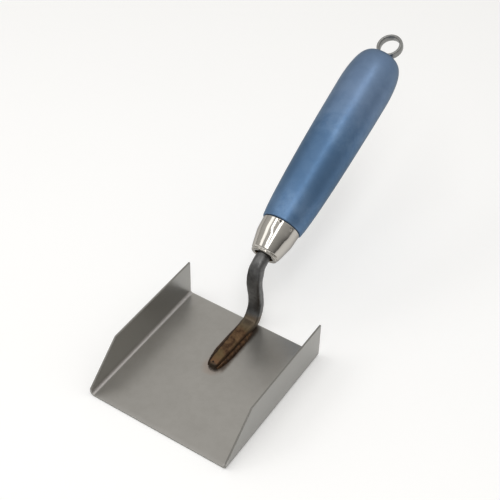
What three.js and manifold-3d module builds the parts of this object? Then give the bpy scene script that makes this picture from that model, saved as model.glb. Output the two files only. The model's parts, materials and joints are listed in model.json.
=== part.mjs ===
// Small plasterer's trowel with a square channel blade. The blade is one folded sheet, open at the
// front and back. A forged shank is welded to it, rises behind its back edge in a swan neck and runs
// as a tang into a turned wooden handle, which has a metal ferrule in front and a hanging eye behind.
//
// Frame: millimetres, +Z up, origin at the centre of the blade's underside. +Y runs from the open
// front edge towards the handle, and X runs across the blade.

import * as THREE from 'three';
import { mergeVertices } from 'three/addons/utils/BufferGeometryUtils.js';
import Module from 'manifold-3d';

// ---------- driving dimensions ----------

const CLEARANCE = 0.3;              // gap kept between neighbours in the turned handle group

const BLADE_WIDTH = 100;            // over both flanges
const BLADE_LENGTH = 105;
const SHEET = 1.2;                  // sheet thickness
const FOLD_RADIUS = 3;              // outside radius of both folds
const FLANGE_HEIGHT = 28.5;
const NOSE_HEIGHT = 5.3;            // flange height left at the front edge
const NOSE_LENGTH = 26.8;           // length of the sloping part of the flange

const HANDLE_TILT = THREE.MathUtils.degToRad(25);       // handle axis above the blade
const FERRULE_MOUTH = new THREE.Vector3(0, 63.4, 52.2); // where the handle axis enters the ferrule

const FERRULE_LENGTH = 22.8;
const FERRULE_WALL = 1.2;
const FERRULE_LIP_RADIUS = 8.6;     // outside, at the rounded lower lip
const FERRULE_CONE_FOOT = 9.4;      // outside, where the cone starts
const FERRULE_CONE_TOP = 12.25;     // outside, where the cone meets the band
const FERRULE_BAND_START = 14;
const FERRULE_RADIUS = 12.85;       // outside, at the wooden handle
const FERRULE_HOLE = 6.4;           // radius of the opening for the shank
const FERRULE_SWELL = [[5, 10.4], [9, 11.35]]; // [distance along the axis, outside radius] of the cone
const FERRULE_LIP = 1.4;            // thickness of the turned-in lip
const FERRULE_LIP_ROUND = 0.4;      // rounding of the lip's edge
const FERRULE_BEND = 1;             // half length of the bend between cone and band
const STAKE_MARKS = [[21.5, 12.4], [20.6, 51]]; // [distance along the axis, degrees from the top towards +X]
const STAKE_MARK_RADIUS = 0.6;

const HANDLE_START = FERRULE_LENGTH + CLEARANCE;
const HANDLE_END = 158.8;
const HANDLE_SWELL = [              // [distance along the axis, radius] of the grip
  [HANDLE_START, 13.4], [24, 13.9], [30, 14.7], [42, 15.6], [60, 16.5],
  [80, 17.15], [100, 17.6], [116, 17.85],
];
const DOME_START = 128;
const DOME_RADIUS = 17.95;          // the largest radius of the handle
const DOME_ROUNDING = 2.2;          // exponents of the superellipse that rounds the blunt end
const DOME_FLATNESS = 5;
const DOME_FRACTIONS = [1, 0.994, 0.98, 0.955, 0.92, 0.87, 0.8, 0.7, 0.55, 0.35]; // radii shown, of the largest
const SPIGOT_START = 3;             // the wood inside the ferrule

const TANG_MOUTH = 5.2;             // half side of the clearance bore round the square tang
const TANG_END = 82;                // depth of the tang along the handle axis
const TANG_TIP = 1.2;               // half side at the point
const TANG_BORE_TIP = 2.2;          // half side of the bore at its far end
const BORE_SPARE = 1;               // how much deeper a bore is than what stands in it

// Stations of the forging from the foot's tip to the tang's point.
const FOOT_STATIONS = [             // [y, top, half width]
  [5.5, 3.4, 1.9], [5.8, 4.2, 2.55], [7.0, 5.0, 3.3], [10.5, 5.6, 3.8],
  [16, 5.9, 4.15], [26, 6.1, 4.4], [36, 6.3, 4.6], [44, 6.6, 4.8],
];
const NECK_STATIONS = [             // [y, z, half width, half thickness, squareness]
  [49.6, 3.9, 4.9, 2.9, 4], [53.4, 7.2, 4.9, 2.9, 4], [55.8, 12.3, 4.9, 2.75, 4],
  [56.2, 18.4, 4.9, 2.6, 4], [55.3, 25, 4.9, 2.6, 4], [54.2, 31.5, 4.9, 2.6, 4],
  [53.6, 37.5, 4.9, 2.7, 4], [54.3, 42.6, 4.9, 3.4, 3], [56.8, 48.1, 4.7, 4.4, 2.3],
];
const TANG_STATIONS = [             // [distance along the handle axis, half side, squareness]
  [0, 4.65, 2.1], [5, 4.4, 2.2], [10, 3.7, 4], [45, 2.6, 4], [TANG_END, TANG_TIP, 4],
];
const FOOT_UPRIGHT_END = 40;        // the foot's sections stand upright as far back as this
const FOOT_SQUARENESS = 4;
const FOOT_SINK = 0.2;              // how far the foot's section reaches below the sheet before its sole is cut flat
const FORGING_SIDES = 28;           // points round each section
const FORGING_STEPS = 3;            // sections from one station to the next

const EYE_PLACE = 168.2;            // centre of the ring on the handle axis
const EYE_MEAN_RADIUS = 7.7;
const EYE_HALF_BAND = 1.2;          // half of the ring's thickness towards its centre
const EYE_HALF_WIDTH = 2.7;         // half of the ring's width along its own axis
const EYE_SQUARENESS = 2.6;         // of the ring's section
const EYE_TURN = THREE.MathUtils.degToRad(-7);          // ring turned about the handle axis
const SCREW_DEPTH = 24;
const SCREW_POINT = 2;              // length of the point
const SCREW_PLAIN = 4;              // length left smooth under the surface
const SCREW_ROOT = 1.6;
const SCREW_CREST = 2.1;
const SCREW_PITCH = 2.4;

const WELD_START = 6.5;             // distance of the weld beads' front ends from the blade's centre
const WELD_END = 45;
const WELD_CENTRE = 4.5;            // distance of each bead's middle from the blade's centre line
const WELD_DRAFT = 1.4;             // how far the front ends draw in with the foot's nose
const WELD_DRAFT_SHARE = 1 / 3;     // the share of the bead's length that draws in
const WELD_HALF_WIDTH = 2.2;
const WELD_HEIGHT = 2.4;
const WELD_BLUNTNESS = 0.35;        // size of the end sections, of the full one
const WELD_RIPPLE = 0.04;
const WELD_STEPS = 20;

const TURNED_SEGMENTS = 56;
const RING_SEGMENTS = 48;
const SCREW_SEGMENTS = 16;

// ---------- materials ----------

const finish = (color, roughness, metalness) =>
  new THREE.MeshStandardMaterial({ color, roughness, metalness });
const SHEET_STEEL = finish(0x9a9690, 0.32, 0.9);
const FORGED_STEEL = finish(0x5d5a55, 0.5, 0.8);
const WELD_METAL = finish(0x4a3320, 0.6, 0.7);
const BRIGHT_PLATE = finish(0xb9b2a6, 0.12, 1.0);
const BLUE_PAINT = finish(0x5f83ad, 0.4, 0.1);
const DULL_STEEL = finish(0x85837f, 0.45, 0.9);

// ---------- solids and booleans ----------

const manifold = await Module();
manifold.setup();

function toSolid(geometry) {
  const bare = geometry.clone();
  bare.deleteAttribute('normal');
  bare.deleteAttribute('uv');
  const welded = mergeVertices(bare, 1e-4);
  return new manifold.Manifold(new manifold.Mesh({
    numProp: 3,
    vertProperties: new Float32Array(welded.attributes.position.array),
    triVerts: new Uint32Array(welded.index.array),
  }));
}

function toGeometry(solid) {
  const mesh = solid.getMesh();
  const geometry = new THREE.BufferGeometry();
  geometry.setAttribute('position', new THREE.BufferAttribute(mesh.vertProperties, 3));
  geometry.setIndex(new THREE.BufferAttribute(mesh.triVerts, 1));
  geometry.computeVertexNormals();
  return geometry;
}

function named(name, geometry, material) {
  const mesh = new THREE.Mesh(geometry, material);
  mesh.name = name;
  return mesh;
}

// A lathe about +Z: the profile is a list of [distance along the axis, radius].
function turned(profile, segments) {
  const points = profile.map(([along, radius]) => new THREE.Vector2(radius, along));
  return new THREE.LatheGeometry(points, segments).rotateX(Math.PI / 2);
}

// An extrusion of a shape drawn in X and Z, centred on y = 0.
function extrudedAlongY(shape, length) {
  return new THREE.ExtrudeGeometry(shape, { depth: length, bevelEnabled: false, curveSegments: 6 })
    .rotateX(Math.PI / 2)
    .translate(0, length / 2, 0);
}

// An extrusion of a shape drawn in Y and Z, centred on x = 0.
function extrudedAlongX(shape, width) {
  return new THREE.ExtrudeGeometry(shape, { depth: width, bevelEnabled: false })
    .rotateX(Math.PI / 2)
    .rotateZ(Math.PI / 2)
    .translate(-width / 2, 0, 0);
}

function polygon(corners) {
  return new THREE.Shape(corners.map(([a, b]) => new THREE.Vector2(a, b)));
}

// A closed ring of points on a superellipse: squareness 2 is round, and a higher one is squarer.
function superellipse(halfWidth, halfHeight, squareness, count) {
  const bend = (value) => Math.sign(value) * Math.abs(value) ** (2 / squareness);
  return Array.from({ length: count }, (_, k) => {
    const angle = (2 * Math.PI * k) / count;
    return [halfWidth * bend(Math.cos(angle)), halfHeight * bend(Math.sin(angle))];
  });
}

// ---------- blade ----------

// Cross-section of the channel in X and Z.
function channelShape() {
  const side = BLADE_WIDTH / 2;
  const foldCentre = side - FOLD_RADIUS;
  const inside = FOLD_RADIUS - SHEET;
  const shape = new THREE.Shape();
  shape.moveTo(-foldCentre, 0);
  shape.lineTo(foldCentre, 0);
  shape.absarc(foldCentre, FOLD_RADIUS, FOLD_RADIUS, -Math.PI / 2, 0, false);
  shape.lineTo(side, FLANGE_HEIGHT);
  shape.lineTo(side - SHEET, FLANGE_HEIGHT);
  shape.lineTo(side - SHEET, FOLD_RADIUS);
  shape.absarc(foldCentre, FOLD_RADIUS, inside, 0, -Math.PI / 2, true);
  shape.lineTo(-foldCentre, SHEET);
  shape.absarc(-foldCentre, FOLD_RADIUS, inside, -Math.PI / 2, -Math.PI, true);
  shape.lineTo(-side + SHEET, FLANGE_HEIGHT);
  shape.lineTo(-side, FLANGE_HEIGHT);
  shape.lineTo(-side, FOLD_RADIUS);
  shape.absarc(-foldCentre, FOLD_RADIUS, FOLD_RADIUS, Math.PI, 1.5 * Math.PI, false);
  return shape;
}

function bladeGeometry() {
  const front = -BLADE_LENGTH / 2;
  const slope = (FLANGE_HEIGHT - NOSE_HEIGHT) / NOSE_LENGTH;
  const beyond = 5;
  const offcut = extrudedAlongX(polygon([
    [front - beyond, NOSE_HEIGHT - beyond * slope],
    [front + NOSE_LENGTH, FLANGE_HEIGHT],
    [front + NOSE_LENGTH, FLANGE_HEIGHT + beyond],
    [front - beyond, FLANGE_HEIGHT + beyond],
  ]), BLADE_WIDTH + 2 * beyond);
  const channel = toSolid(extrudedAlongY(channelShape(), BLADE_LENGTH));
  return toGeometry(channel.subtract(toSolid(offcut)));
}

// ---------- shank ----------

const axisPoint = (along) => new THREE.Vector3(
  0,
  FERRULE_MOUTH.y + along * Math.cos(HANDLE_TILT),
  FERRULE_MOUTH.z + along * Math.sin(HANDLE_TILT),
);

// Every station as centre (y, z), half width across, half thickness, squareness of the section.
function shankStations() {
  const foot = FOOT_STATIONS.map(([y, top, halfWidth]) =>
    [y, (SHEET + top) / 2, halfWidth, (top - SHEET) / 2 + FOOT_SINK, FOOT_SQUARENESS]);
  const tang = TANG_STATIONS.map(([along, half, squareness]) => {
    const point = axisPoint(along);
    return [point.y, point.z, half, half, squareness];
  });
  return [...foot, ...NECK_STATIONS, ...tang];
}

// A closed body through a row of rings that all have the same number of points.
function loft(rings) {
  const count = rings[0].length;
  const last = rings.length - 1;
  const middle = (ring) => [0, 1, 2].map((axis) =>
    ring.reduce((sum, point) => sum + point[axis], 0) / count);
  const positions = [...rings.flat(2), ...middle(rings[0]), ...middle(rings[last])];
  const startCap = rings.length * count;
  const faces = [];
  for (let k = 0; k < count; k++) {
    const next = (k + 1) % count;
    for (let row = 0; row < last; row++) {
      const here = row * count;
      const ahead = here + count;
      faces.push(here + k, ahead + next, here + next, here + k, ahead + k, ahead + next);
    }
    const end = last * count;
    faces.push(startCap, k, next, startCap + 1, end + next, end + k);
  }
  const geometry = new THREE.BufferGeometry();
  geometry.setAttribute('position', new THREE.Float32BufferAttribute(positions, 3));
  geometry.setIndex(faces);
  geometry.computeVertexNormals();
  return geometry;
}

// The forging lofted through its stations, grown all round by a margin. Its sole is flat where it
// lies on the sheet.
function shankGeometry(margin = 0) {
  const stations = shankStations();
  const steps = FORGING_STEPS * (stations.length - 1);
  const centres = new THREE.CatmullRomCurve3(
    stations.map(([y, z]) => new THREE.Vector3(0, y, z)), false, 'catmullrom');
  const sizes = new THREE.CatmullRomCurve3(
    stations.map(([, , width, thickness, squareness]) => new THREE.Vector3(width, thickness, squareness)),
    false, 'catmullrom');
  const rings = Array.from({ length: steps + 1 }, (_, step) => {
    const centre = centres.getPoint(step / steps);
    const tangent = centre.y < FOOT_UPRIGHT_END
      ? new THREE.Vector3(0, 1, 0)
      : centres.getTangent(step / steps);
    const size = sizes.getPoint(step / steps);
    return superellipse(size.x + margin, size.y + margin, size.z, FORGING_SIDES).map(([across, up]) => {
      const y = centre.y - tangent.z * up;
      const z = centre.z + tangent.y * up;
      const overSheet = y < BLADE_LENGTH / 2 + CLEARANCE;
      return [across, y, overSheet ? Math.max(z, SHEET) : z];
    });
  });
  return loft(rings);
}

// One weld bead: a low rounded run along a side of the foot, cut clear of the forging.
function weldBeadGeometry(side) {
  const rings = Array.from({ length: WELD_STEPS + 1 }, (_, step) => {
    const along = step / WELD_STEPS;
    const fullness = Math.max(WELD_BLUNTNESS, Math.sqrt(1 - Math.abs(2 * along - 1) ** 5));
    const ripple = 1 + WELD_RIPPLE * Math.cos(step * Math.PI);
    const centre = WELD_CENTRE - WELD_DRAFT * Math.max(0, 1 - along / WELD_DRAFT_SHARE);
    return superellipse(WELD_HALF_WIDTH * fullness * ripple, WELD_HEIGHT * fullness, 2, 16)
      .map(([across, up]) => [
        side * centre + across,
        WELD_START + along * (WELD_END - WELD_START),
        SHEET + Math.max(up, 0),
      ]);
  });
  return toGeometry(toSolid(loft(rings)).subtract(toSolid(shankGeometry(CLEARANCE))));
}

// ---------- ferrule, handle and hanging eye, in the handle's own frame with +Z along its axis ----------

function ferruleGeometry() {
  const shell = toSolid(turned([
    [0, FERRULE_HOLE], [0, FERRULE_LIP_RADIUS - FERRULE_LIP_ROUND], [FERRULE_LIP_ROUND, FERRULE_LIP_RADIUS],
    [FERRULE_LIP, FERRULE_CONE_FOOT], ...FERRULE_SWELL,
    [FERRULE_BAND_START - FERRULE_BEND, FERRULE_CONE_TOP],
    [FERRULE_BAND_START + FERRULE_BEND, FERRULE_CONE_TOP + FERRULE_BEND / 5],
    [FERRULE_LENGTH, FERRULE_RADIUS], [FERRULE_LENGTH, FERRULE_RADIUS - FERRULE_WALL],
    [FERRULE_BAND_START, FERRULE_CONE_TOP - FERRULE_WALL],
    [FERRULE_LIP + FERRULE_BEND, FERRULE_CONE_FOOT - FERRULE_WALL],
    [FERRULE_LIP, FERRULE_HOLE + FERRULE_BEND], [FERRULE_LIP, FERRULE_HOLE], [0, FERRULE_HOLE],
  ], TURNED_SEGMENTS));
  const marks = STAKE_MARKS.map(([along, degrees]) => {
    const angle = THREE.MathUtils.degToRad(degrees);
    const mark = new THREE.SphereGeometry(STAKE_MARK_RADIUS, 10, 8)
      .translate(Math.sin(angle) * FERRULE_RADIUS, -Math.cos(angle) * FERRULE_RADIUS, along);
    return toSolid(mark);
  });
  return toGeometry(marks.reduce((solid, mark) => solid.subtract(mark), shell));
}

// Distance along the axis at which the blunt end has shrunk to a fraction of the largest radius.
function domePlace(fraction) {
  const rise = (1 - fraction ** DOME_FLATNESS) ** (1 / DOME_ROUNDING);
  return DOME_START + rise * (HANDLE_END - DOME_START);
}

function handleGeometry() {
  const spigot = FERRULE_RADIUS - FERRULE_WALL - CLEARANCE;
  const spigotNose = FERRULE_CONE_FOOT - FERRULE_WALL - CLEARANCE;
  const screwHole = SCREW_CREST + CLEARANCE;
  const dome = DOME_FRACTIONS.map((fraction) => [domePlace(fraction), fraction * DOME_RADIUS]);
  return turned([
    [TANG_END + BORE_SPARE, 0], [TANG_END + BORE_SPARE, TANG_BORE_TIP], [SPIGOT_START, TANG_MOUTH],
    [SPIGOT_START, spigotNose], [FERRULE_BAND_START, FERRULE_CONE_TOP - FERRULE_WALL - CLEARANCE],
    [HANDLE_START, spigot], ...HANDLE_SWELL, ...dome,
    [HANDLE_END, screwHole], [HANDLE_END - SCREW_DEPTH - BORE_SPARE, screwHole],
    [HANDLE_END - SCREW_DEPTH - 2 * BORE_SPARE, 0],
  ], TURNED_SEGMENTS);
}

// The screw eye: a flattened ring on a ridged screw that goes into the end of the handle.
function eyeGeometry() {
  const section = superellipse(EYE_HALF_BAND, EYE_HALF_WIDTH, EYE_SQUARENESS, 16);
  const closed = [...section, section[0]];
  const ring = turned(closed.map(([radial, across]) => [across, EYE_MEAN_RADIUS + radial]), RING_SEGMENTS)
    .rotateX(Math.PI / 2)
    .rotateZ(EYE_TURN)
    .translate(0, 0, EYE_PLACE);
  const screwTop = EYE_PLACE - EYE_MEAN_RADIUS;
  const screwFoot = HANDLE_END - SCREW_DEPTH;
  const ridges = Math.floor((SCREW_DEPTH - SCREW_POINT - SCREW_PLAIN) / SCREW_PITCH);
  const profile = [[screwFoot, 0], [screwFoot + SCREW_POINT, SCREW_ROOT]];
  for (let ridge = 0; ridge < ridges; ridge++) {
    const start = screwFoot + SCREW_POINT + ridge * SCREW_PITCH;
    profile.push([start + SCREW_PITCH / 2, SCREW_CREST], [start + SCREW_PITCH, SCREW_ROOT]);
  }
  profile.push([screwTop, SCREW_ROOT], [screwTop, 0]);
  return toGeometry(toSolid(ring).add(toSolid(turned(profile, SCREW_SEGMENTS))));
}

// ---------- assembly ----------

const trowel = new THREE.Group();
trowel.add(named('blade', bladeGeometry(), SHEET_STEEL));
trowel.add(named('shank', shankGeometry(), FORGED_STEEL));
trowel.add(named('weld_bead_left', weldBeadGeometry(-1), WELD_METAL));
trowel.add(named('weld_bead_right', weldBeadGeometry(1), WELD_METAL));

const grip = new THREE.Group();
grip.position.copy(FERRULE_MOUTH);
grip.rotation.x = HANDLE_TILT - Math.PI / 2;
grip.add(named('ferrule', ferruleGeometry(), BRIGHT_PLATE));
grip.add(named('handle', handleGeometry(), BLUE_PAINT));
grip.add(named('hanging_eye', eyeGeometry(), DULL_STEEL));
trowel.add(grip);

export default trowel;
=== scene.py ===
import json
import math

import bmesh
import bpy
import numpy as np
from mathutils import Matrix, Vector, noise


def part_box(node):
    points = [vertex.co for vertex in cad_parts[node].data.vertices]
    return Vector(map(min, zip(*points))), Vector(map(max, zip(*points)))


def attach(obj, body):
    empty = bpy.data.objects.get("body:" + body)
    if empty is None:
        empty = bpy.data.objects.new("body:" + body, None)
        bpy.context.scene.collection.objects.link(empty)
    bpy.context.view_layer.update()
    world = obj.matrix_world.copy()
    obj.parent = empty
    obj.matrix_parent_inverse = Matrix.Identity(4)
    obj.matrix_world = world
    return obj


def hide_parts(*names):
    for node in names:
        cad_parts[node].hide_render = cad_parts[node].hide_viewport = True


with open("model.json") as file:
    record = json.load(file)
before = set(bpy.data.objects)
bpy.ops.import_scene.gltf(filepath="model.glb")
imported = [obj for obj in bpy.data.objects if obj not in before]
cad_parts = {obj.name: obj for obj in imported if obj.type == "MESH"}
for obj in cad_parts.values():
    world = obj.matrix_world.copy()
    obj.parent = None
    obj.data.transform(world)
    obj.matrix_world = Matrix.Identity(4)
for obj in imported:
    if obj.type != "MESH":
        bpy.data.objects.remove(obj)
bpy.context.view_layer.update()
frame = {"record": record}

# Small plasterer's trowel with a square channel blade, a welded swan-neck shank, a ferruled handle
# and a hanging eye. Lengths are in millimetres up to the point where a mesh is made.

MM = 0.001
MOUNTS = {m["name"]: m for m in frame["record"]["mounts"]}

# ---------- dimensions shared with the CAD model ----------

BLADE_HALF_WIDTH = 50.0
SHEET = 1.2
FOLD_RADIUS = 3.0                  # outside
FOLD_STEPS = 12
NOSE_HEIGHT = 5.3
NOSE_LENGTH = 26.8
EDGE_ROUND = 0.16
EDGE_ANGLE = math.radians(35)      # edges sharper than this are rounded

HANDLE_TILT = math.radians(25)
EYE_PLACE = 168.2                  # along the handle axis, from the ferrule's mouth
AXIS = Vector((0, math.cos(HANDLE_TILT), math.sin(HANDLE_TILT)))
AXIS_UP = Vector((0, -math.sin(HANDLE_TILT), math.cos(HANDLE_TILT)))
MOUTH = Vector(MOUNTS["hanging_hole"]["pos_m"]) / MM - AXIS * EYE_PLACE

FERRULE_LENGTH = 22.8
FERRULE_RADIUS = 12.85             # outside, at the wooden handle
FERRULE_HOLE = 6.4
FERRULE_WALL = 1.2
FERRULE_SEGMENTS = 320
STAKE_MARKS = [(21.5, 12.4), (20.6, 51.0)]     # (along the axis, degrees from the top towards +X)
STAKE_RADIUS = 0.55
STAKE_DEPTH = 0.95

HANDLE_START = 22.9
HANDLE_END = 158.8
DOME_START = 128.0
DOME_RADIUS = 17.95
DOME_ROUNDING = 2.2                # exponents of the superellipse that rounds the blunt end
DOME_FLATNESS = 5.0
DOME_STEPS = 34
TANG_END = 82.0
TANG_BORE = 5.2                    # radius of the tang's bore at its mouth
TANG_BORE_TIP = 2.2                # and at its far end
BORE_SPARE = 1.0                   # how much deeper a bore is than what stands in it

EYE_MEAN_RADIUS = 7.7
EYE_HALF_BAND = 1.2
EYE_HALF_WIDTH = 2.7
EYE_SQUARENESS = 2.6
EYE_TURN = math.radians(-7)        # about the handle axis
SCREW_DEPTH = 24.0
SCREW_ROOT = 1.6
SCREW_CREST = 2.1
SCREW_PITCH = 2.4
SCREW_RIDGE = 0.32                 # half the width of a ridge, of the pitch
SCREW_POINT = 2.5                  # length over which the point fills out
SCREW_PLAIN = 4.0                  # length left without ridges under the wood's surface
SCREW_GAP = 0.25                   # between the ridges and the bore

WELD_START = 6.5
WELD_END = 45.0
WELD_CENTRE = 4.5
WELD_DRAFT = 1.4
WELD_HALF_WIDTH = 2.12
WELD_HEIGHT = 2.5
WELD_PITCH = 2.1                   # from one crescent to the next

FOOT = [                           # (y, top, half width)
    (5.5, 3.4, 1.9), (5.8, 4.2, 2.55), (7.0, 5.0, 3.3), (10.5, 5.6, 3.8),
    (16, 5.9, 4.15), (26, 6.1, 4.4), (36, 6.3, 4.6), (44, 6.6, 4.8)]
FOOT_SQUARENESS = 2.75
FOOT_SINK = 0.2                    # added to the half thickness, so that the sole is cut flat
FOOT_PIT = Vector((-0.2, 7.6, 5.1))
FOOT_PIT_RADIUS = 0.6
FOOT_PIT_DEPTH = 0.5
FOOT_UPRIGHT_END = 40.0            # the foot's sections stand upright as far back as this
NECK = [                           # (y, z, half width, half thickness, squareness)
    (49.6, 3.9, 4.9, 2.9, 4), (53.4, 7.2, 4.9, 2.9, 4), (55.8, 12.3, 4.9, 2.75, 4),
    (56.2, 18.4, 4.9, 2.6, 4), (55.3, 25, 4.9, 2.6, 4), (54.2, 31.5, 4.9, 2.6, 4),
    (53.6, 37.5, 4.9, 2.7, 4), (54.3, 42.6, 4.9, 3.4, 3), (56.8, 48.1, 4.7, 4.4, 2.3)]
BAR_SHARPNESS = 1.9                # how much squarer the bar is drawn than its stations say
TANG = [                           # (along the handle axis, half side, squareness)
    (0, 4.65, 2.1), (5, 4.4, 2.2), (10, 3.7, 4), (45, 2.6, 4), (TANG_END, 1.2, 4)]


# ---------- mesh helpers ----------

def make_object(name, vertices, faces, material, smooth_angle=math.radians(38)):
    """A mesh object from millimetre vertices, with smooth shading up to an angle."""
    mesh = bpy.data.meshes.new(name)
    mesh.from_pydata([tuple(c * MM for c in v) for v in vertices], [], faces)
    bm = bmesh.new()
    bm.from_mesh(mesh)
    bmesh.ops.remove_doubles(bm, verts=bm.verts, dist=1e-7)
    bmesh.ops.recalc_face_normals(bm, faces=bm.faces)
    bm.to_mesh(mesh)
    bm.free()
    mesh.materials.append(material)
    obj = bpy.data.objects.new(name, mesh)
    bpy.context.scene.collection.objects.link(obj)
    shade(obj, smooth_angle)
    return obj


def shade(obj, angle):
    """Smooth shading, with the edges that bend by more than an angle left sharp."""
    mesh = obj.data
    mesh.polygons.foreach_set("use_smooth", [True] * len(mesh.polygons))
    bm = bmesh.new()
    bm.from_mesh(mesh)
    for edge in bm.edges:
        sharp = len(edge.link_faces) == 2 and edge.calc_face_angle(0) > angle
        edge.smooth = not sharp
    bm.to_mesh(mesh)
    bm.free()
    mesh.update()


def rings_to_faces(rows, count, closed_rows=False):
    """Quads between rows of points, each row a closed ring of count points."""
    faces = []
    for row in range(rows if closed_rows else rows - 1):
        ahead = (row + 1) % rows
        for k in range(count):
            right = (k + 1) % count
            faces.append((row * count + k, row * count + right,
                          ahead * count + right, ahead * count + k))
    return faces


def capped(rings):
    """Vertices and faces of a loft with a flat cap on both ends."""
    count = len(rings[0])
    vertices = [v for ring in rings for v in ring]
    faces = rings_to_faces(len(rings), count)
    faces.append(tuple(reversed(range(count))))
    faces.append(tuple(range((len(rings) - 1) * count, len(rings) * count)))
    return vertices, faces


def on_axis(along, across, up):
    """A point by its distance along the handle axis, towards +X and towards the handle's top."""
    return MOUTH + AXIS * along + Vector((across, 0, 0)) + AXIS_UP * up


def turned(name, profile, segments, material, change=None, **shading):
    """A closed body turned about the handle axis. The profile is a loop of (along, radius), and
    change(along, radius, angle) may give another radius for a point."""
    rings = []
    for along, radius in profile:
        ring = []
        for k in range(segments):
            angle = 2 * math.pi * k / segments
            r = change(along, radius, angle) if change else radius
            ring.append(on_axis(along, r * math.sin(angle), r * math.cos(angle)))
        rings.append(ring)
    vertices = [v for ring in rings for v in ring]
    faces = rings_to_faces(len(rings), segments, closed_rows=profile[0][1] > 0)
    return make_object(name, vertices, faces, material, **shading)


def superellipse(half_width, half_height, squareness, count):
    """A closed ring of points: squareness 2 is an ellipse, and a higher one is squarer."""
    def bend(value):
        return math.copysign(abs(value) ** (2 / squareness), value)
    angles = [2 * math.pi * k / count for k in range(count)]
    return [(half_width * bend(math.cos(a)), half_height * bend(math.sin(a))) for a in angles]


def catmull_rom(points, steps):
    """Points and tangents of a uniform Catmull-Rom spline, steps to each span."""
    p = np.array(points, float)
    p = np.vstack([2 * p[0] - p[1], p, 2 * p[-1] - p[-2]])
    places, tangents = [], []
    spans = len(p) - 3
    for i in range(spans):
        a, b, c, d = p[i:i + 4]
        last = i == spans - 1
        for s in range(steps + (1 if last else 0)):
            t = s / steps
            places.append(0.5 * (2 * b + (c - a) * t + (2 * a - 5 * b + 4 * c - d) * t * t
                                 + (3 * b - a - 3 * c + d) * t ** 3))
            tangents.append(0.5 * ((c - a) + 2 * (2 * a - 5 * b + 4 * c - d) * t
                                   + 3 * (3 * b - a - 3 * c + d) * t * t))
    return np.array(places), np.array(tangents)


def fillet(corner, towards_a, towards_b, radius, steps=6):
    """Points of a rounded corner in a profile, on a quadratic curve between its two sides."""
    c, a, b = Vector(corner), Vector(towards_a), Vector(towards_b)
    start = c + (a - c).normalized() * radius
    end = c + (b - c).normalized() * radius
    out = []
    for s in range(steps + 1):
        t = s / steps
        out.append(tuple(start * (1 - t) ** 2 + c * 2 * t * (1 - t) + end * t * t))
    return out


def spaced(points, longest):
    """The same polyline with extra points, so that no span is longer than a length."""
    out = [points[0]]
    for a, b in zip(points, points[1:]):
        parts = max(1, math.ceil(math.dist(a, b) / longest))
        for s in range(1, parts + 1):
            t = s / parts
            out.append((a[0] + (b[0] - a[0]) * t, a[1] + (b[1] - a[1]) * t))
    return out


def rough(obj, size, depth, keep=None):
    """Moves a mesh's points in and out along their normals by noise of a size and depth in mm."""
    mesh = obj.data
    normals = [v.normal.copy() for v in mesh.vertices]
    for vertex, normal in zip(mesh.vertices, normals):
        p = vertex.co / (size * MM)
        amount = noise.noise(p) + 0.5 * noise.noise(p * 2.3)
        if keep:
            amount *= keep(vertex.co / MM)
        vertex.co += normal * (amount * depth * MM)
    mesh.update()


def dent(obj, centre, radius, depth):
    """Presses a round dent into a mesh at a point in mm."""
    for vertex in obj.data.vertices:
        gap = (vertex.co / MM - centre).length
        if gap < 2.5 * radius:
            vertex.co -= vertex.normal * (depth * MM * math.exp(-(gap / radius) ** 2))
    obj.data.update()


# ---------- material helpers ----------

class Nodes:
    """A node tree that is filled node by node."""

    def __init__(self, tree):
        self.tree = tree
        tree.nodes.clear()

    def add(self, kind, settings=(), **inputs):
        node = self.tree.nodes.new(kind)
        for name, value in dict(settings).items():
            setattr(node, name, value)
        for name, value in inputs.items():
            self.put(node.inputs[name.replace("_", " ")], value)
        return node

    def put(self, socket, value):
        if isinstance(value, bpy.types.NodeSocket):
            self.tree.links.new(value, socket)
        else:
            socket.default_value = value

    def math(self, operation, *values, clamp=False):
        node = self.add("ShaderNodeMath", {"operation": operation, "use_clamp": clamp})
        for socket, value in zip(node.inputs, values):
            self.put(socket, value)
        return node.outputs[0]

    def vector(self, operation, a, b):
        node = self.add("ShaderNodeVectorMath", {"operation": operation})
        self.put(node.inputs[0], a)
        self.put(node.inputs[1], b)
        return node.outputs

    def dot(self, a, b):
        return self.vector("DOT_PRODUCT", a, b)["Value"]

    def range(self, value, low, high, to_low=0.0, to_high=1.0, smooth=True):
        """A value mapped from one range to another, and held at the second one's ends."""
        node = self.add("ShaderNodeMapRange",
                        {"interpolation_type": "SMOOTHSTEP" if smooth else "LINEAR"})
        for name, v in (("Value", value), ("From Min", low), ("From Max", high),
                        ("To Min", to_low), ("To Max", to_high)):
            self.put(node.inputs[name], v)
        return node.outputs["Result"]


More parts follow.
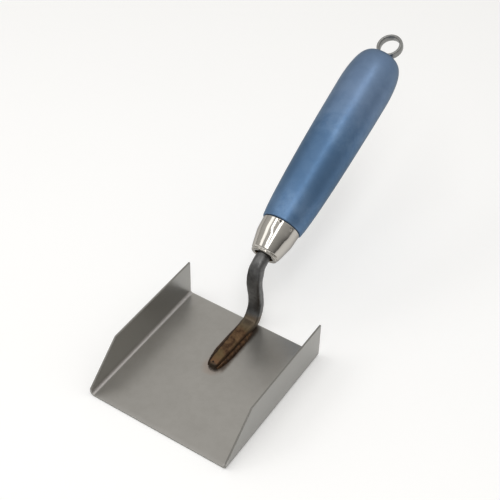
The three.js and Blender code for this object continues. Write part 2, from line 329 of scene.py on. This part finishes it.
class Shader(Nodes):
    """A principled material, with places in mm in the part's own frame."""

    def __init__(self, name, **constants):
        self.material = bpy.data.materials.new(name)
        self.material.use_nodes = True
        super().__init__(self.material.node_tree)
        self.surface = self.add("ShaderNodeBsdfPrincipled")
        self.add("ShaderNodeOutputMaterial", Surface=self.surface.outputs[0])
        self.place = self.add("ShaderNodeTexCoord").outputs["Object"]
        for socket, value in constants.items():
            self.surface.inputs[socket.replace("_", " ")].default_value = value

    def noise(self, size, detail=3.0, roughness=0.5, stretch=(1, 1, 1)):
        """Noise of about 0 to 1 with features of a size in mm."""
        place = self.vector("MULTIPLY", self.place, stretch)[0]
        return self.add("ShaderNodeTexNoise", Vector=place, Scale=1 / (size * MM), Detail=detail,
                        Roughness=roughness).outputs["Fac"]

    def ragged(self, value, noise, amount, middle=0.0):
        """A value that wanders by an amount times a noise, so that what it bounds has no even edge."""
        if middle:
            noise = self.math("SUBTRACT", noise, middle)
        return self.math("ADD", value, self.math("MULTIPLY", noise, amount))

    def mix(self, factor, a, b):
        node = self.add("ShaderNodeMix", {"data_type": "RGBA"})
        self.put(node.inputs[0], factor)
        for index, value in ((6, a), (7, b)):
            self.put(node.inputs[index], value if isinstance(value, bpy.types.NodeSocket)
                     else (*value, 1.0))
        return node.outputs[2]

    def axes(self):
        node = self.add("ShaderNodeSeparateXYZ", Vector=self.place)
        return [self.math("DIVIDE", socket, MM) for socket in node.outputs]

    def length(self, a, b):
        squares = [self.math("MULTIPLY", value, value) for value in (a, b)]
        return self.math("SQRT", self.math("ADD", *squares))

    def distance(self, point):
        gap = self.vector("DISTANCE", self.place, tuple(c * MM for c in point))["Value"]
        return self.math("DIVIDE", gap, MM)

    def along(self, direction):
        return self.math("DIVIDE", self.dot(self.place, direction), MM)

    def bump(self, height, depth, strength=1.0, under=None):
        node = self.add("ShaderNodeBump", Strength=strength, Distance=depth * MM, Height=height)
        if under is not None:
            self.put(node.inputs["Normal"], under)
        return node.outputs["Normal"]

    def finish(self, color, roughness=None, normal=None, metallic=None):
        for name, value in (("Base Color", color), ("Roughness", roughness),
                            ("Normal", normal), ("Metallic", metallic)):
            if value is not None:
                self.put(self.surface.inputs[name], value)
        return self.material


def sheet_steel():
    """Rolled stainless sheet: satin, with a fine grain along the blade and smudges. Painted shade makes
    the flanges and the outside of the folds darker, and a painted highlight makes the inside of the
    folds paler. The welded foot has a heat halo round it and a dark fringe on its right, partly soot
    and partly painted shade."""
    base = (0.400, 0.388, 0.366), (0.450, 0.436, 0.411)
    # painted shade: the same sheet, drawn darker on the upright flanges
    shaded_flange = (0.305, 0.300, 0.284), (0.345, 0.338, 0.320)
    stain, pale_front = (0.34, 0.325, 0.30), (0.50, 0.49, 0.47)
    # painted highlight inside the folds, painted shade on their outside
    painted_fold_highlight, painted_fold_shade = (0.51, 0.49, 0.475), (0.225, 0.220, 0.208)
    # the dark fringe on the foot's right is partly soot and partly painted shade
    heat_tint, soot_and_shade = (0.40, 0.335, 0.29), (0.085, 0.062, 0.045)
    fold_centre = BLADE_HALF_WIDTH - FOLD_RADIUS

    s = Shader("sheet_steel", Metallic=1.0)
    x, y, z = s.axes()
    grain = s.noise(1.0, detail=4, stretch=(6, 0.12, 6))
    smudge = s.noise(24, detail=2)
    blotch = s.noise(6, detail=4, roughness=0.6)
    color = s.mix(smudge, *base)
    color = s.mix(s.range(blotch, 0.35, 0.7, 0.0, 0.25), color, stain)

    aside = s.math("ABSOLUTE", x)
    # painted shade on the upright flanges
    upright = s.math("MULTIPLY", s.range(aside, BLADE_HALF_WIDTH - 1.5, BLADE_HALF_WIDTH - 1.25),
                     s.range(z, FOLD_RADIUS - 0.4, FOLD_RADIUS + 0.6))
    color = s.mix(upright, color, s.mix(smudge, *shaded_flange))
    # painted highlight inside the folds and painted shade outside them
    bent = s.math("MULTIPLY", s.range(aside, fold_centre - 0.4, fold_centre + 0.4),
                  s.range(z, FOLD_RADIUS + 0.5, FOLD_RADIUS - 0.3))
    bow = s.length(s.math("SUBTRACT", aside, fold_centre), s.math("SUBTRACT", z, FOLD_RADIUS))
    outside = s.range(bow, FOLD_RADIUS - 0.8 * SHEET, FOLD_RADIUS - 0.3 * SHEET)
    color = s.mix(bent, color, s.mix(outside, painted_fold_highlight, painted_fold_shade))

    past = s.math("SUBTRACT", y, s.math("MINIMUM", s.math("MAXIMUM", y, WELD_START), WELD_END))
    beside = s.length(x, past)
    halo = s.range(s.ragged(beside, s.noise(5, detail=3), 4.0), 6.0, 10.5, 0.6, 0.0)
    color = s.mix(halo, color, heat_tint)
    # dark fringe right of the foot: partly soot, partly painted shade beside the bead
    fringe = s.range(s.ragged(beside, s.noise(2.5, detail=3), 1.6, middle=0.5), 6.4, 9.2, 0.8, 0.0)
    fringe = s.math("MULTIPLY", fringe, s.range(x, 1.0, 4.0))
    fringe = s.math("MULTIPLY", fringe, s.range(y, 4.0, 9.0))
    color = s.mix(fringe, color, soot_and_shade)
    # paler along the front edge
    front = s.range(s.ragged(y, blotch, 1.5), -48.5, -50.5, 0.0, 0.4)
    color = s.mix(front, color, pale_front)

    roughness = s.math("ADD", s.range(grain, 0.3, 0.7, 0.29, 0.33), s.range(smudge, 0.3, 0.7, 0.0, 0.05))
    roughness = s.math("ADD", roughness, s.math("MULTIPLY", bent, 0.22))
    normal = s.bump(grain, 0.002, 0.5)
    normal = s.bump(smudge, 0.05, 0.5, under=normal)
    return s.finish(color, roughness, normal)


def cut_edge():
    """Sheared edges of the sheet, duller and darker than its faces."""
    s = Shader("sheet_steel_cut_edge", Metallic=1.0)
    burr = s.noise(0.8, detail=3, stretch=(1, 1, 3))
    color = s.mix(burr, (0.20, 0.195, 0.18), (0.34, 0.33, 0.31))
    return s.finish(color, s.range(burr, 0.3, 0.7, 0.34, 0.5), s.bump(burr, 0.03, 0.5))


def forged_steel():
    """Forge scale: grey on the neck, and heat tinted brown and pitted on the welded foot, whose nose,
    sides and pit are darkened by painted shade."""
    scale_grey = (0.102, 0.102, 0.102), (0.155, 0.155, 0.153)
    scale_brown = (0.048, 0.022, 0.009), (0.155, 0.090, 0.044)
    straw, rust, warm_grey = (0.150, 0.112, 0.050), (0.140, 0.058, 0.030), (0.130, 0.108, 0.080)
    # painted shade on the nose's front, on the foot's sides and in its pit
    shaded_nose, shaded_side, shaded_pit = (0.036, 0.030, 0.022), (0.026, 0.012, 0.005), (0.004, 0.003, 0.003)

    s = Shader("forged_steel")
    x, y, z = s.axes()
    scale = s.noise(3.5, detail=5, roughness=0.62)
    fine = s.noise(0.7, detail=4, roughness=0.6)
    wide = s.noise(9, detail=3)
    grey = s.mix(s.range(scale, 0.3, 0.7), *scale_grey)
    brown = s.mix(s.range(scale, 0.32, 0.68), *scale_brown)
    brown = s.mix(s.range(wide, 0.45, 0.65, 0.0, 0.6), brown, straw)
    brown = s.mix(s.range(s.ragged(y, scale, 6.0), 9.0, 19.0, 0.65, 0.0), brown, rust)
    # painted shade on the foot's nose
    brown = s.mix(s.range(s.ragged(y, scale, 3.0), 7.2, 10.0, 0.9, 0.0), brown, shaded_nose)
    # painted shade on the foot's sides
    half_width = s.range(y, 6.0, 40.0, 2.9, 4.4, smooth=False)
    wall = s.ragged(s.math("DIVIDE", x, half_width), scale, 0.25, middle=0.5)
    left, right = s.range(wall, -0.60, -0.84, 0.0, 0.95), s.range(wall, 0.75, 1.15, 0.0, 0.5)
    brown = s.mix(s.math("MAXIMUM", left, right), brown, shaded_side)
    # painted shade in the pit
    brown = s.mix(s.range(s.distance(FOOT_PIT), 0.3, 1.0, 1.0, 0.0), brown, shaded_pit)
    brown = s.mix(s.range(y, 37.0, 48.0, 0.0, 0.75), brown, warm_grey)

    height = s.ragged(z, wide, 4.0, middle=0.5)
    color = s.mix(s.range(height, 6.9, 10.0), brown, grey)
    roughness = s.math("ADD", s.range(fine, 0.3, 0.7, 0.36, 0.48), s.range(height, 6.5, 12.0, 0.10, 0.0))
    metallic = s.range(height, 6.5, 12.0, 0.75, 0.92)
    normal = s.bump(fine, 0.05, 0.45)
    normal = s.bump(scale, 0.18, 0.5, under=normal)
    return s.finish(color, roughness, normal, metallic)


def weld_metal():
    """Oxidised weld bead, dark brown with blue-black patches."""
    s = Shader("weld_metal", Metallic=0.7)
    patch = s.noise(2.6, detail=4, roughness=0.6)
    fine = s.noise(0.5, detail=3)
    color = s.mix(s.range(patch, 0.35, 0.65), (0.040, 0.019, 0.008), (0.112, 0.058, 0.025))
    color = s.mix(s.range(s.noise(5), 0.55, 0.7, 0.0, 0.6), color, (0.030, 0.028, 0.030))
    return s.finish(color, s.range(fine, 0.3, 0.7, 0.34, 0.56), s.bump(fine, 0.08, 0.5))


def bright_plate():
    """Nickel plate, slightly wavy from drawing, with fine handling marks, and stake marks darkened by
    painted shade.
    """
    s = Shader("bright_plate", Metallic=1.0, Specular_Tint=(0.45, 0.45, 0.45, 1.0))
    wave = s.noise(7, detail=2)
    mark = s.noise(1.4, detail=4, stretch=(3, 0.5, 3))
    color = s.mix(s.noise(9, detail=3), (0.485, 0.462, 0.425), (0.545, 0.522, 0.485))
    # painted shade in the dents of the stake marks
    stake_shade = 0.0
    for along, degrees in STAKE_MARKS:
        angle = math.radians(degrees)
        point = on_axis(along, FERRULE_RADIUS * math.sin(angle), FERRULE_RADIUS * math.cos(angle))
        stake_shade = s.math("MAXIMUM", stake_shade, s.range(s.distance(point), 0.45, 1.15, 1.0, 0.0))
    color = s.mix(stake_shade, color, (0.035, 0.020, 0.016))
    normal = s.bump(wave, 0.05, 0.5)
    normal = s.bump(mark, 0.003, 0.4, under=normal)
    return s.finish(color, s.range(mark, 0.35, 0.7, 0.07, 0.15), normal)


def blue_lacquer():
    """Pearl blue lacquer sprayed on turned wood: fine flake, faint mottling and turning marks. It is
    deeper in colour along the middle of the grip, and a painted highlight makes it paler towards the
    blunt end."""
    deep, pale = (0.080, 0.162, 0.296), (0.130, 0.224, 0.370)
    dust, glint = (0.150, 0.225, 0.345), (0.23, 0.31, 0.43)
    deep_middle, painted_end_highlight = (0.072, 0.145, 0.262), (0.195, 0.265, 0.395)

    s = Shader("blue_lacquer", Metallic=0.78, Coat_Weight=0.12, Coat_Roughness=0.45,
               Specular_Tint=(0.50, 0.48, 0.38, 1.0))
    flake = s.noise(0.28, detail=3, roughness=0.7)
    mottle = s.noise(9, detail=5, roughness=0.6)
    speckle = s.noise(2.2, detail=4, roughness=0.65)
    color = s.mix(s.range(mottle, 0.3, 0.7), deep, pale)
    color = s.mix(s.range(speckle, 0.5, 0.75, 0.0, 0.3), color, dust)
    color = s.mix(s.range(flake, 0.45, 0.75, 0.0, 0.25), color, glint)
    mottle_reach = 12.0
    start = MOUTH.dot(AXIS) + mottle_reach / 2
    along = s.ragged(s.along(AXIS), mottle, mottle_reach)
    # deeper in colour along the middle of the grip
    grip_middle = s.math("MULTIPLY", s.range(along, start + 34, start + 56),
                  s.range(along, start + 102, start + 68))
    color = s.mix(s.math("MULTIPLY", grip_middle, 0.75), color, deep_middle)
    # painted highlight: paler towards the blunt end
    toward_end = s.range(along, start + 84, start + 122)
    color = s.mix(s.math("MULTIPLY", toward_end, 0.5), color, painted_end_highlight)
    roughness = s.range(speckle, 0.3, 0.7, 0.41, 0.49)
    normal = s.bump(mottle, 0.10, 0.35)
    normal = s.bump(speckle, 0.02, 0.35, under=normal)
    return s.finish(color, roughness, normal)


def bare_wood():
    """Turned beech where the lacquer doesn't reach: inside the ferrule and round the screw."""
    s = Shader("bare_wood", Metallic=0.0)
    rays = s.noise(1.2, detail=4, stretch=(4, 0.4, 4))
    color = s.mix(rays, (0.30, 0.17, 0.085), (0.46, 0.29, 0.16))
    return s.finish(color, s.range(rays, 0.3, 0.7, 0.55, 0.7), s.bump(rays, 0.04, 0.5))


def dull_steel():
    """Plain steel wire flattened to a ring, grey and dull."""
    s = Shader("dull_steel", Metallic=0.95)
    haze = s.noise(3.0, detail=4, roughness=0.6)
    fine = s.noise(0.5, detail=3)
    color = s.mix(haze, (0.235, 0.235, 0.23), (0.32, 0.32, 0.312))
    return s.finish(color, s.range(haze, 0.3, 0.7, 0.36, 0.5), s.bump(fine, 0.02, 0.4))


def pale_floor():
    """A lit white table: part of its light is its own, so shadows on it stay weak."""
    s = Shader("pale_floor", Metallic=0.0, Roughness=0.9, Specular_IOR_Level=0.05,
               Emission_Color=(1.0, 0.998, 0.99, 1), Emission_Strength=0.17)
    return s.finish(s.mix(s.noise(180, detail=2), (0.85, 0.85, 0.85), (0.87, 0.87, 0.868)))


# ---------- blade ----------

def make_blade():
    low, high = (Vector(c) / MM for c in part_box("blade"))
    side, front, back, top = high.x, low.y, high.y, high.z
    centre = side - FOLD_RADIUS
    fold = [math.pi / 2 * k / FOLD_STEPS for k in range(FOLD_STEPS + 1)]
    outer = [(centre + FOLD_RADIUS * math.sin(a), FOLD_RADIUS - FOLD_RADIUS * math.cos(a)) for a in fold]
    inside = FOLD_RADIUS - SHEET
    inner = [(centre + inside * math.sin(a), FOLD_RADIUS - inside * math.cos(a)) for a in reversed(fold)]
    half = outer + [(side, top), (side - SHEET, top)] + inner
    section = half + [(-x, z) for x, z in reversed(half)]
    count = len(section)
    vertices = [(x, y, z) for y in (front, back) for x, z in section]
    faces = rings_to_faces(2, count) + [tuple(range(count)), tuple(range(count, 2 * count))]
    blade = make_object("blade_sheet", vertices, faces, MATERIALS["sheet"])

    bm = bmesh.new()
    bm.from_mesh(blade.data)
    slope = Vector((0, -(top - NOSE_HEIGHT), NOSE_LENGTH)).normalized()
    cut = bmesh.ops.bisect_plane(
        bm, geom=bm.verts[:] + bm.edges[:] + bm.faces[:],
        plane_co=Vector((0, front, NOSE_HEIGHT)) * MM, plane_no=slope, clear_outer=True)
    bmesh.ops.holes_fill(bm, edges=[e for e in cut["geom_cut"] if isinstance(e, bmesh.types.BMEdge)])
    bmesh.ops.recalc_face_normals(bm, faces=bm.faces)
    facing = 0.6
    for face in bm.faces:
        on_flange = face.calc_center_median().z > FOLD_RADIUS * MM
        sheared = abs(face.normal.y) > facing or face.normal.z > facing and on_flange
        face.material_index = 1 if sheared else 0
    bm.to_mesh(blade.data)
    bm.free()
    blade.data.materials.append(MATERIALS["cut_edge"])
    bevel = blade.modifiers.new("edge_round", "BEVEL")
    bevel.width = EDGE_ROUND * MM
    bevel.segments = 3
    bevel.angle_limit = EDGE_ANGLE
    bevel.harden_normals = True
    shade(blade, EDGE_ANGLE)
    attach(blade, "root")
    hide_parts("blade")


# ---------- shank and welds ----------

def make_shank():
    """One forging: a foot with a flat sole, a swan neck and a tang inside the handle."""
    stations = [(y, (SHEET + top) / 2, half, (top - SHEET) / 2 + FOOT_SINK, FOOT_SQUARENESS)
                for y, top, half in FOOT]
    stations += NECK
    for along, half, squareness in TANG:
        point = MOUTH + AXIS * along
        stations.append((point.y, point.z, half, half, squareness))
    steps, sides = 9, 64
    centres, tangents = catmull_rom([s[:2] for s in stations], steps)
    sizes, _ = catmull_rom([s[2:] for s in stations], steps)
    past_blade = 0.3
    behind = (Vector(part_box("blade")[1]) / MM).y + past_blade
    rings = []
    for (cy, cz), tangent, (half_width, half_thick, squareness) in zip(centres, tangents, sizes):
        ty, tz = (1.0, 0.0) if cy < FOOT_UPRIGHT_END else tangent / np.linalg.norm(tangent)
        sharpened = 2 + (squareness - 2) * BAR_SHARPNESS
        ring = []
        for across, up in superellipse(half_width, half_thick, sharpened, sides):
            y, z = cy - tz * up, cz + ty * up
            ring.append((across, y, max(z, SHEET) if y < behind else z))
        rings.append(ring)
    shank = make_object("shank_forging", *capped(rings), MATERIALS["forged"], smooth_angle=math.radians(50))

    def above_sole(p):
        untouched, fade = 0.3, 1.2
        return max(0.0, min(1.0, (p.z - SHEET - untouched) / fade))

    def pitted(p):
        foot_end, foot_height, smoother = 48, 9, 0.35
        return above_sole(p) * (1.0 if p.y < foot_end and p.z < foot_height else smoother)
    rough(shank, 5.0, 0.16, keep=above_sole)
    rough(shank, 1.6, 0.07, keep=pitted)
    dent(shank, FOOT_PIT, FOOT_PIT_RADIUS, FOOT_PIT_DEPTH)
    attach(shank, "root")
    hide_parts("shank")


def make_weld_bead(name, side):
    """One weld run along a side of the foot: overlapping crescents, fuller in the middle."""
    steps, sides = 190, 28
    bluntness, thinnest = 5, 0.3       # how late the ends thin out, and how far
    bow, ripple_depth = 0.28, 0.06     # of a crescent, and of the grooves between them
    sink, sway = 0.05, 0.12
    rings = []
    for step in range(steps + 1):
        along = step / steps
        y = WELD_START + along * (WELD_END - WELD_START)
        fullness = max(thinnest, math.sqrt(1 - abs(2 * along - 1) ** bluntness))
        centre = side * (WELD_CENTRE - WELD_DRAFT * max(0, 1 - 3 * along))
        wander = sway * noise.noise(Vector((side * 3, y / 4, 0)))
        ring = []
        for across, up in superellipse(1, 1, 2, sides):
            phase = y / WELD_PITCH + bow * (1 - across * across)
            wave = phase - math.floor(phase)
            ripple = 1 - ripple_depth + ripple_depth * math.sin(math.pi * wave) ** 0.6
            ring.append((centre + wander + across * WELD_HALF_WIDTH * fullness * ripple, y,
                         SHEET - sink + max(up, 0) * WELD_HEIGHT * fullness * ripple))
        rings.append(ring)
    bead = make_object(name, *capped(rings), MATERIALS["weld"], smooth_angle=math.radians(70))
    rough(bead, 1.3, 0.10, keep=lambda p: 1.0 if p.z > SHEET + 0.2 else 0.0)
    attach(bead, "root")
    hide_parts(name.replace("_run", ""))


# ---------- ferrule, handle and eye ----------

def make_ferrule():
    """A drawn cup with a rolled lip, a groove behind it, a cone, a plain band and two stake marks."""
    cone = [(2.1, 9.62), (5, 10.4), (9, 11.35)]
    lip = fillet((0.0, 8.95), (0.0, 7.0), (1.1, 9.12), 0.8, 8)
    groove = fillet((1.35, 8.72), (0.9, 9.10), (2.1, 9.62), 0.34, 5)
    bend = fillet((13.9, 12.42), (13, 12.25), (21, 12.8), 1.6, 8)
    rim = fillet((FERRULE_LENGTH, FERRULE_RADIUS - 0.02), (20.5, 12.8), (FERRULE_LENGTH, 11.7), 0.7, 8)
    inner = [(FERRULE_LENGTH, 11.9), (22.4, FERRULE_RADIUS - FERRULE_WALL), (14, 11.05), (2.4, 8.2),
             (1.4, 7.4), (1.4, FERRULE_HOLE + 0.35)]
    hole = fillet((0.0, FERRULE_HOLE), (1.4, FERRULE_HOLE), (0.0, 9.0), 0.35, 5)
    profile = spaced(lip + groove + cone + bend + rim, 0.45) + inner + hole

    def with_marks(along, radius, angle):
        band_start = 17
        if radius < FERRULE_RADIUS - 1 or along < band_start:
            return radius
        for place, degrees in STAKE_MARKS:
            across = (angle - math.radians(degrees) + math.pi) % (2 * math.pi) - math.pi
            gap = math.hypot(along - place, across * FERRULE_RADIUS)
            radius -= STAKE_DEPTH * math.exp(-(gap / STAKE_RADIUS) ** 2)
        return radius
    ferrule = turned("ferrule_shell", profile, FERRULE_SEGMENTS, MATERIALS["plate"], with_marks,
                     smooth_angle=math.radians(40))
    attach(ferrule, "root")
    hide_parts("ferrule")


def make_handle():
    """A turned grip with a blunt end, a spigot inside the ferrule and bores for tang and screw."""
    swell = [(24.2, 13.95), (30, 14.7), (42, 15.6), (60, 16.5), (80, 17.15), (100, 17.6), (116, 17.85)]
    grip, _ = catmull_rom(swell + [(DOME_START, DOME_RADIUS)], 8)
    dome = []
    for k in range(DOME_STEPS + 1):
        f = 1 - 0.65 * (k / DOME_STEPS) ** 2.4
        rise = (1 - f ** DOME_FLATNESS) ** (1 / DOME_ROUNDING)
        dome.append((DOME_START + rise * (HANDLE_END - DOME_START), f * DOME_RADIUS))
    shoulder = fillet((HANDLE_START, 13.75), (HANDLE_START, 12), (25.4, 14.1), 0.75, 8)
    spigot = [(HANDLE_START, 11.4), (14, 10.75), (3, 7.9)]
    tang_bore = [(3, TANG_BORE), (TANG_END + BORE_SPARE, TANG_BORE_TIP), (TANG_END + BORE_SPARE, 0.01)]
    inlet = spigot + tang_bore
    bore, bore_end = SCREW_CREST + SCREW_GAP, HANDLE_END - SCREW_DEPTH - BORE_SPARE
    outlet = [(HANDLE_END, 5.0), (HANDLE_END - 0.1, SCREW_ROOT + 0.35), (HANDLE_END - 1.2, SCREW_ROOT + 0.1),
              (HANDLE_END - SCREW_PLAIN, bore), (bore_end, bore), (bore_end - 1, 0.01)]
    outer = shoulder + [tuple(p) for p in grip[1:]] + dome[1:]
    profile = list(reversed(inlet)) + outer + outlet

    def hand_turned(along, radius, angle):
        if along < HANDLE_START or radius < 6:
            return radius
        depth = 0.06
        p = Vector((math.cos(angle) * 0.6, math.sin(angle) * 0.6, along / 16))
        return radius + depth * noise.noise(p) - depth / 2
    handle = turned("handle_grip", profile, 160, MATERIALS["lacquer"], hand_turned,
                    smooth_angle=math.radians(45))
    handle.data.materials.append(MATERIALS["wood"])
    for face in handle.data.polygons:
        offset = Vector(face.center) / MM - MOUTH
        along = offset.dot(AXIS)
        radius = (offset - AXIS * along).length
        if along < HANDLE_START - 0.05 or radius < SCREW_CREST + 0.3:
            face.material_index = 1
    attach(handle, "root")
    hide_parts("handle")


def make_eye():
    """A flattened ring on a threaded stem, which sits in the end of the handle."""
    around, section = 120, superellipse(EYE_HALF_BAND, EYE_HALF_WIDTH, EYE_SQUARENESS, 28)
    rings = []
    for k in range(around):
        angle = 2 * math.pi * k / around
        ring = []
        for radial, axial in section:
            r = EYE_MEAN_RADIUS + radial
            across = r * math.sin(angle) * math.cos(EYE_TURN) + axial * math.sin(EYE_TURN)
            up = -r * math.sin(angle) * math.sin(EYE_TURN) + axial * math.cos(EYE_TURN)
            ring.append(on_axis(EYE_PLACE + r * math.cos(angle), across, up))
        rings.append(ring)
    vertices = [v for ring in rings for v in ring]
    faces = rings_to_faces(around, len(section), closed_rows=True)
    eye = make_object("eye_ring", vertices, faces, MATERIALS["dull"], smooth_angle=math.radians(60))
    rough(eye, 4.0, 0.06)

    foot, top = HANDLE_END - SCREW_DEPTH, EYE_PLACE - EYE_MEAN_RADIUS
    plain = HANDLE_END - SCREW_PLAIN
    flare, flare_start = 0.8, HANDLE_END - 1       # where the stem spreads into the ring
    segments = 40
    rings = []
    for along in np.linspace(foot, top, 240):
        ring = []
        for k in range(segments):
            angle = 2 * math.pi * k / segments
            turn = (along / SCREW_PITCH - angle / (2 * math.pi)) % 1
            ridge = max(0.0, 1 - abs(turn - 0.5) / SCREW_RIDGE)
            radius = SCREW_ROOT + (SCREW_CREST - SCREW_ROOT) * ridge if along < plain else SCREW_ROOT
            radius *= min(1.0, 0.1 + (along - foot) / SCREW_POINT)
            if along > flare_start:
                radius += flare * ((along - flare_start) / (top - flare_start)) ** 2
            ring.append(on_axis(along, radius * math.sin(angle), radius * math.cos(angle)))
        rings.append(ring)
    stem = make_object("eye_screw", *capped(rings), MATERIALS["dull"], smooth_angle=math.radians(50))
    for piece in (eye, stem):
        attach(piece, "root")
    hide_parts("hanging_eye")
    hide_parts("hanging_eye")


# ---------- stage, light and camera ----------

FLOOR_HALF_SIZE = 40000.0          # so large that its edge stays close to the horizon in a low view
FLOOR_DROP = 0.05                  # gap that keeps the floor clear of the sole
LIGHTS_AIM = (0, 75, 58)           # between the blade and the handle
LIGHTS_DISTANCE = 1.1              # metres, from the aim
STRIP_SPARE = 0.25                 # metres added to a strip's length
STRIPS = [                         # name, directions of both ends, width in metres, radiance
    ("strip_left", (-0.62, -0.52, 0.60), (-0.69, -0.10, 0.72), 0.34, 1.35),
    ("strip_middle", (0.0, -0.62, 0.78), (-0.33, -0.20, 0.92), 0.15, 3.2),
    ("strip_right", (0.25, -0.62, 0.75), (0.17, 0.22, 0.96), 0.20, 3.6),
]


def make_floor():
    size = FLOOR_HALF_SIZE
    floor = make_object("floor", [(-size, -size, 0), (size, -size, 0), (size, size, 0), (-size, size, 0)],
                        [(0, 1, 2, 3)], pale_floor())
    floor.location.z = -FLOOR_DROP * MM


def softbox(name, start, end, width, radiance):
    """A long area light of an even radiance, from one direction to another as the object sees
    them, and reaching a little past both."""
    light = bpy.data.lights.new(name, "AREA")
    aim = Vector(LIGHTS_AIM) * MM
    a, b = (aim + Vector(d).normalized() * LIGHTS_DISTANCE for d in (start, end))
    away = ((a + b) / 2 - aim).normalized()
    along = (b - a) - away * (b - a).dot(away)
    light.shape = "RECTANGLE"
    light.size, light.size_y = width, along.length + STRIP_SPARE
    light.energy = radiance * math.pi * light.size * light.size_y
    along.normalize()
    turn = Matrix((along.cross(away), along, away)).transposed()
    obj = bpy.data.objects.new(name, light)
    obj.matrix_world = Matrix.Translation((a + b) / 2) @ turn.to_4x4()
    bpy.context.scene.collection.objects.link(obj)


def make_world():
    """Studio tent: brighter overhead and on the left, darker at the horizon on the right in front,
    with a broad glow behind on the right."""
    world = bpy.data.worlds.new("studio")
    bpy.context.scene.world = world
    world.use_nodes = True
    nodes = Nodes(world.node_tree)
    direction = nodes.add("ShaderNodeTexCoord").outputs["Generated"]
    height = nodes.add("ShaderNodeSeparateXYZ", Vector=direction).outputs["Z"]
    tent = nodes.math("ADD", nodes.dot(direction, (-0.15, 0.06, 0.33)), 0.36)
    near_horizon = nodes.range(height, 0.0, 0.42, 0.11, 0.0, smooth=False)
    right_front = nodes.dot(direction, (0.95, -0.45, 0.0))
    shade_there = nodes.math("MULTIPLY", right_front, near_horizon, clamp=True)
    glow = nodes.range(nodes.dot(direction, (0.62, 0.64, 0.45)), 0.70, 1.0, 0.0, 0.37)
    strength = nodes.math("ADD", nodes.math("SUBTRACT", tent, shade_there), glow)
    background = nodes.add("ShaderNodeBackground", Color=(1.0, 0.985, 0.955, 1), Strength=strength)
    nodes.add("ShaderNodeOutputWorld", Surface=background.outputs[0])


def make_camera():
    """The view by azimuth and elevation of the line of sight, roll about it, distance in mm, and the
    place in mm of the blade's centre in the picture, towards its right and its top."""
    azimuth, elevation, roll = (math.radians(a) for a in (31.96, 43.74, 1.54))
    distance, right_by, up_by = 709.4, -27.06, -77.66
    back = Vector((math.sin(azimuth) * math.cos(elevation),
                   -math.cos(azimuth) * math.cos(elevation), math.sin(elevation)))
    right = (-back).cross(Vector((0, 0, 1))).normalized()
    up = right.cross(-back)
    turned_right = right * math.cos(roll) + up * math.sin(roll)
    turned_up = up * math.cos(roll) - right * math.sin(roll)
    data = bpy.data.cameras.new("camera")
    data.sensor_width = 36.0
    data.lens = 81.99
    data.clip_start, data.clip_end = 0.05, 100.0
    camera = bpy.data.objects.new("camera", data)
    place = (back * distance - turned_right * right_by - turned_up * up_by) * MM
    camera.matrix_world = Matrix((
        (turned_right.x, turned_up.x, back.x, place.x),
        (turned_right.y, turned_up.y, back.y, place.y),
        (turned_right.z, turned_up.z, back.z, place.z),
        (0, 0, 0, 1)))
    bpy.context.scene.collection.objects.link(camera)
    bpy.context.scene.camera = camera


MATERIALS = {
    "sheet": sheet_steel(),
    "cut_edge": cut_edge(),
    "forged": forged_steel(),
    "weld": weld_metal(),
    "plate": bright_plate(),
    "lacquer": blue_lacquer(),
    "wood": bare_wood(),
    "dull": dull_steel(),
}
make_blade()
make_shank()
make_weld_bead("weld_bead_left_run", -1)
make_weld_bead("weld_bead_right_run", 1)
make_ferrule()
make_handle()
make_eye()
make_floor()
make_world()
for strip in STRIPS:
    softbox(*strip)
make_camera()
bpy.context.scene.view_settings.view_transform = "Standard"
